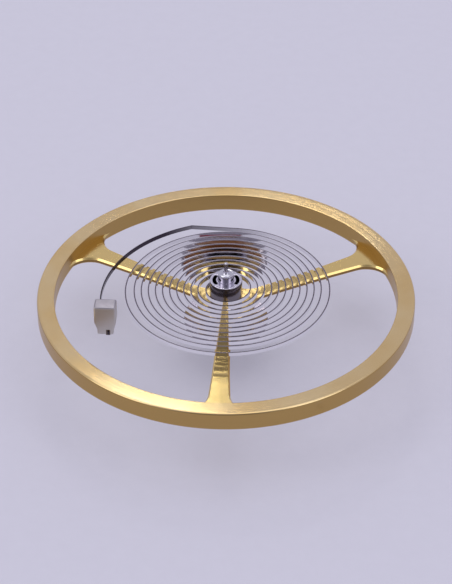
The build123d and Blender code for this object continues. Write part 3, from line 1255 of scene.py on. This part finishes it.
@dataclass
class Hairspring:
    """The strip: welded to the collet, wound in twelve turns, led out, bent at the knee and held in the stud."""

    thickness: float = 0.035
    height: float = 0.11
    bottom: float = 2.175
    edge: float = 0.005
    weld_radius: float = 0.4475
    weld_span: float = 30.0
    start_angle: float = 84.0
    first_radius: float = 0.691
    pitch: float = 0.187
    turns: int = 12
    outer_widening: float = 0.04
    lead_out: float = 1.20
    knee_radius: float = 0.15
    knee_angle: float = 25.6
    terminal_radius: float = 3.50
    terminal_angle: float = 86.9
    stud_depth: float = 0.40
    tail: float = 0.05
    step: float = radians(3)
    lead_steps: int = 12
    tail_steps: int = 4
    finish: SpringFinish = SpringFinish()

    def path(self) -> tuple[list[complex], list[complex]]:
        """The strip's middle line in plan.

        Returns:
            The points from the weld to the tail, and the heading at each.
        """
        weld_start = self.weld_radius * heading(self.start_angle - self.weld_span)
        points = arc(0j, weld_start, radians(self.weld_span), self.step)
        headings = [point * 1j / abs(point) for point in points]

        def bend(radius: float, turn: float) -> None:
            """Goes on along a left-hand arc.

            Args:
                radius: the arc's radius.
                turn: how far it turns, in degrees.
            """
            start, course = points[-1], headings[-1]
            centre = start + course * 1j * radius
            for point in arc(centre, start, radians(turn), self.step)[1:]:
                points.append(point)
                headings.append((point - centre) / abs(point - centre) * 1j)

        def run(length: float, count: int) -> None:
            """Goes straight on.

            Args:
                length: how far.
                count: in how many steps.
            """
            start, course = points[-1], headings[-1]
            for i in range(1, count + 1):
                points.append(start + course * length * i / count)
                headings.append(course)

        lead_off = (self.first_radius - self.weld_radius - self.pitch / 2) / 2
        radius = self.weld_radius + lead_off
        bend(radius, HALF_TURN)
        radius += lead_off + self.pitch / 4
        bend(radius, HALF_TURN)
        for turn in range(1, self.turns):
            if turn == self.turns - 1:
                radius += self.outer_widening
            for _ in range(2):
                radius += self.pitch / 2
                bend(radius, HALF_TURN)
        run(self.lead_out, self.lead_steps)
        bend(self.knee_radius, self.knee_angle)
        bend(self.terminal_radius, self.terminal_angle)
        run(self.stud_depth + self.tail, self.tail_steps)
        return points, headings

    def strip_mesh(self) -> tuple[bpy.types.Mesh, list[float]]:
        """Carries the strip's section, its corners eased, along the middle line.

        Returns:
            The mesh, and how far along the strip each of its points is.
        """
        half, high, edge = self.thickness / 2, self.height, self.edge
        section = eased([(-half, 0, edge), (half, 0, edge), (half, high, edge), (-half, high, edge)])
        points, headings = self.path()
        shape = bmesh.new()
        rings, places = [], []
        length = 0.0
        for last, point, course in zip(points[:1] + points, points, headings):
            length += abs(point - last)
            spots = [point - course * 1j * corner.real for corner in section]
            ends = zip(spots, section)
            rings.append([shape.verts.new((spot.real, spot.imag, self.bottom + end.imag)) for spot, end in ends])
            places += [(length, corner.real, corner.imag) for corner in section]
        for ring, next_ring in zip(rings, rings[1:]):
            for i in range(len(section)):
                shape.faces.new((ring[i - 1], ring[i], next_ring[i], next_ring[i - 1]))
        shape.faces.new(rings[0])
        shape.faces.new(rings[-1])
        mesh = closed_mesh(shape)
        where = mesh.attributes.new(self.finish.attribute, "FLOAT_VECTOR", "POINT")
        where.data.foreach_set("vector", [number for place in places for number in place])
        return mesh, [place[0] for place in places]

    def build(self) -> bpy.types.Object:
        """Builds the strip; each point's share between the stud and the collet is worked out but not used.

        Returns:
            The strip, in its place.
        """
        mesh, lengths = self.strip_mesh()
        made = piece("wound_spring", mesh, self.finish.make())
        points = self.path()[0]
        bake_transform(made)
        held = lengths[-1] - self.stud_depth - self.tail
        welded = self.weld_radius * radians(self.weld_span)
        shares = [min(1.0, max(0.0, (held - length) / (held - welded))) for length in lengths]
        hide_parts("hairspring")
        return made


@dataclass
class Stud:
    """The upright block at the spring's outer end, with the cement in its slit."""

    width: float = 0.565
    depth: float = 0.40
    height: float = 0.87
    bottom: float = 2.145
    turn: float = -20.0
    foot_width: float = 0.42
    foot_height: float = 0.14
    taper_height: float = 0.22
    edge: float = 0.045
    edge_steps: int = 3
    slit_width: float = 0.10
    slit_height: float = 0.17
    # Painted light: the stud's walls are painted lighter than its top.
    steel: SteelFinish = SteelFinish(
        "stud_steel", (0.43, 0.41, 0.44), (0.34, 0.32, 0.34), (0.59, 0.56, 0.53), Grain.DRAWN, 0.34, 22.0, 0.0012
    )
    cement: ResinFinish = ResinFinish("stud_cement", (0.12, 0.075, 0.05), (0.07, 0.045, 0.03), 0.1)

    def front(self) -> list[tuple[float, float]]:
        """Draws the block as it is seen along the spring.

        Returns:
            Its outline, across and up.
        """
        foot, wide = self.foot_width / 2, self.width / 2
        shoulder = self.foot_height + self.taper_height
        right = [(foot, 0.0), (foot, self.foot_height), (wide, shoulder), (wide, self.height)]
        return right + [(-across, up) for across, up in reversed(right)]

    def block_mesh(self, middle: complex, course: complex) -> bpy.types.Mesh:
        """The block with its edges eased.

        Args:
            middle: the middle of the spring's run through the stud, in plan.
            course: the way that the spring runs there.

        Returns:
            The mesh.
        """
        facing = course * heading(self.turn)
        shape = bmesh.new()
        sides = []
        for end in (-self.depth / 2, self.depth / 2):
            spots = [(middle + facing * (end - 1j * across), up) for across, up in self.front()]
            sides.append([shape.verts.new((spot.real, spot.imag, self.bottom + up)) for spot, up in spots])
            shape.faces.new(sides[-1])
        back, front = sides
        for i in range(len(back)):
            shape.faces.new((back[i - 1], back[i], front[i], front[i - 1]))
        bmesh.ops.recalc_face_normals(shape, faces=shape.faces)
        bmesh.ops.bevel(
            shape,
            geom=shape.edges[:],
            offset=self.edge,
            segments=self.edge_steps,
            profile=0.5,
            affect="EDGES",
            clamp_overlap=True,
        )
        return closed_mesh(shape)

    def slit(self, middle: complex, course: complex) -> bpy.types.Mesh:
        """Makes the space of the slit, which runs along the spring and opens downwards.

        Args:
            middle: the middle of the spring's run through the stud, in plan.
            course: the way that the spring runs there.

        Returns:
            The mesh.
        """
        corner = complex(self.depth, self.slit_width / 2)
        outline = [middle + course * spot for spot in (-corner.conjugate(), -corner, corner.conjugate(), corner)]
        return prism(outline, self.bottom - PAST, self.bottom + self.slit_height)

    def build(self, spring: Hairspring) -> list[bpy.types.Object]:
        """Builds the stud round the end of the spring.

        Args:
            spring: the spring that it holds.

        Returns:
            The block and the node of the cement.
        """
        points, headings = spring.path()
        course = headings[-1]
        middle = points[-1] - course * (spring.tail + self.depth / 2)
        mesh = joined(self.block_mesh(middle, course), self.slit(middle, course), Joining.DIFFERENCE)
        made = settled(piece("stud_block", mesh, self.steel.make()), "stud", Body.HELD)
        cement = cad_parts["stud_cement"]
        cement.data.materials.clear()
        cement.data.materials.append(self.cement.make())
        return [made, cement]


# ---- The studio ----


def compass(azimuth: float, elevation: float) -> Colour:
    """The direction at an azimuth and an elevation in degrees."""
    level = heading(azimuth) * cos(radians(elevation))
    return level.real, level.imag, sin(radians(elevation))


@dataclass(frozen=True)
class SoftLamp:
    """A softbox aimed at the wheel."""

    name: str
    azimuth: float
    elevation: float
    width: float
    height: float
    level: float
    colour: Colour = (1.0, 1.0, 1.0)
    distance: float = 140.0

    def build(self, target: Vector) -> bpy.types.Object:
        """Hangs the lamp.

        Args:
            target: what it is aimed at, in metres.

        Returns:
            The lamp.
        """
        direction = Vector(compass(self.azimuth, self.elevation))
        light = bpy.data.lights.new(self.name, "AREA")
        light.shape = "RECTANGLE"
        light.size = self.width * MM
        light.size_y = self.height * MM
        light.energy = self.level * pi**2 * (self.distance * MM) ** 2
        light.color = self.colour
        lamp = bpy.data.objects.new(self.name, light)
        lamp.location = target + direction * self.distance * MM
        lamp.rotation_euler = direction.to_track_quat("Z", "Y").to_euler()
        bpy.context.scene.collection.objects.link(lamp)
        return lamp


@dataclass
class Studio:
    """The floor, the light and the camera."""

    floor_colour: Colour = (0.590, 0.577, 0.690)
    floor_radius: float = 1500.0
    floor_corners: int = 64
    floor_roughness: float = 0.6
    floor_shine: float = 0.3
    fibres_per_mm: float = 2.5
    fibre_detail: float = 4.0
    fibre_tint: float = 0.03
    fibre_roughness: float = 0.2
    fibre_depth: float = 0.01
    floor_in_metal: float = 0.55
    floor_light: float = 0.35
    sky_colour: Colour = (0.93, 0.92, 1.0)
    sky_level: float = 0.74
    back_colour: Colour = (0.578, 0.565, 0.680)
    target_height: float = 2.15
    camera_distance: float = 55.0
    camera_elevation: float = 37.0
    lens: float = 128.0
    sensor: float = 36.0
    farthest: float = 10000.0
    dark_side_azimuth: float = 270.0
    dark_side_elevation: float = 27.0
    dark_side_reach: float = 36.0
    dark_side_core: float = 22.0
    dark_side_depth: float = 0.66
    lamps: tuple[SoftLamp, ...] = (
        SoftLamp("key_softbox", 200.0, 44.0, 64.0, 64.0, 0.11, (1.0, 0.98, 0.95)),
        SoftLamp("back_lamp", 96.2, 47.2, 18.0, 18.0, 0.034, (1.0, 0.97, 0.93)),
        SoftLamp("side_softbox", 328.0, 44.0, 62.0, 62.0, 0.07, (0.96, 0.97, 1.0)),
        SoftLamp("top_softbox", 80.0, 84.0, 130.0, 130.0, 0.20, (1.0, 1.0, 1.0)),
    )

    def floor(self) -> bpy.types.Object:
        """Lays the pale floor under the lower pivot.

        Returns:
            The floor.
        """
        board = Surface("pale_floor", {"Specular IOR Level": self.floor_shine})
        fibre = board.cloud(board.place(), self.fibres_per_mm, self.fibre_detail)
        lighter, darker = (
            tuple(min(1.0, part * (1 + tint)) for part in self.floor_colour)
            for tint in (self.fibre_tint, -self.fibre_tint)
        )
        board.set("Base Color", board.mix(fibre, lighter, darker))
        board.set("Roughness", self.floor_roughness + fibre * self.fibre_roughness)
        board.bump(fibre, self.fibre_depth)
        seen, shone = board.rays()
        plain = board.node("ShaderNodeEmission", {}, {"Color": self.back_colour, "Strength": 1.0})
        share = shone * self.floor_in_metal | seen * self.floor_light
        shown = board.blend(share, board.principled, plain)
        board.node("ShaderNodeOutputMaterial", {"is_active_output": True}, {"Surface": shown.outputs[0]})
        shape = bmesh.new()
        corners = circle(self.floor_radius, self.floor_corners)
        shape.faces.new([shape.verts.new((corner.real, corner.imag, 0.0)) for corner in corners])
        mesh = bpy.data.meshes.new("floor")
        shape.to_mesh(mesh)
        shape.free()
        mesh.transform(Matrix.Scale(MM, 4))
        mesh.materials.append(board.material)
        ground = bpy.data.objects.new("pale_floor", mesh)
        bpy.context.scene.collection.objects.link(ground)
        return ground

    def sky(self) -> None:
        """Even light from all round, and the floor's colour behind it for the camera and for what shines.

        What the metal mirrors is darker on one side, as if a dark screen stood there.
        """
        world = bpy.data.worlds.new("studio_sky")
        bpy.context.scene.world = world
        world.use_nodes = True
        board = Board(world.node_tree)
        seen, shone = board.rays()
        toward = board.node("ShaderNodeTexCoord", {}, {}).outputs["Generated"]
        middle = compass(self.dark_side_azimuth, self.dark_side_elevation)
        nearness = board.node("ShaderNodeVectorMath", {"operation": "DOT_PRODUCT"}, {0: toward, 1: middle}).outputs[1]
        edge, core = cos(radians(self.dark_side_reach)), cos(radians(self.dark_side_core))
        shade = board.between(Signal(board, nearness), edge, core) * (1.0 - seen) * self.dark_side_depth
        light, back, dark = (
            board.node("ShaderNodeBackground", {}, {"Color": colour, "Strength": level})
            for colour, level in ((self.sky_colour, self.sky_level), (self.back_colour, 1.0), (self.back_colour, 0.0))
        )
        chosen = board.blend(seen | shone, light, board.blend(shade, back, dark))
        board.node("ShaderNodeOutputWorld", {}, {"Surface": chosen.outputs[0]})

    def camera(self) -> bpy.types.Object:
        """Sets up the camera at the photograph's angle, closer in.

        Returns:
            The camera.
        """
        view = bpy.data.cameras.new("studio_camera")
        view.lens = self.lens
        view.sensor_width = self.sensor
        view.clip_start = MM
        view.clip_end = self.farthest * MM
        made = bpy.data.objects.new("studio_camera", view)
        tilt = radians(self.camera_elevation)
        away = Vector((0.0, -cos(tilt), sin(tilt)))
        made.location = Vector((0.0, 0.0, self.target_height * MM)) + away * self.camera_distance * MM
        made.rotation_euler = away.to_track_quat("Z", "Y").to_euler()
        bpy.context.scene.collection.objects.link(made)
        bpy.context.scene.camera = made
        return made

    def build(self) -> None:
        """Sets the whole studio up."""
        self.floor()
        self.sky()
        target = Vector((0.0, 0.0, self.target_height * MM))
        for lamp in self.lamps:
            lamp.build(target)
        self.camera()
        bpy.context.scene.view_settings.view_transform = "Standard"


def main() -> None:
    """Builds the studio and every piece, and reports each."""
    logging.basicConfig(level=logging.INFO, format="%(name)s: %(message)s")
    Studio().build()
    spring = Hairspring()
    pieces = [BalanceWheel().build(), BalanceStaff().build(), *DoubleRoller().build(), Collet().build()]
    pieces += [spring.build(), *Stud().build(spring)]
    for made in pieces:
        low, high = (Vector(corner) / MM for corner in (made.bound_box[0], made.bound_box[6]))
        log.info("%s, %.3f x %.3f x %.3f mm", made.name, *(high - low))


if __name__ == "__main__":
    main()
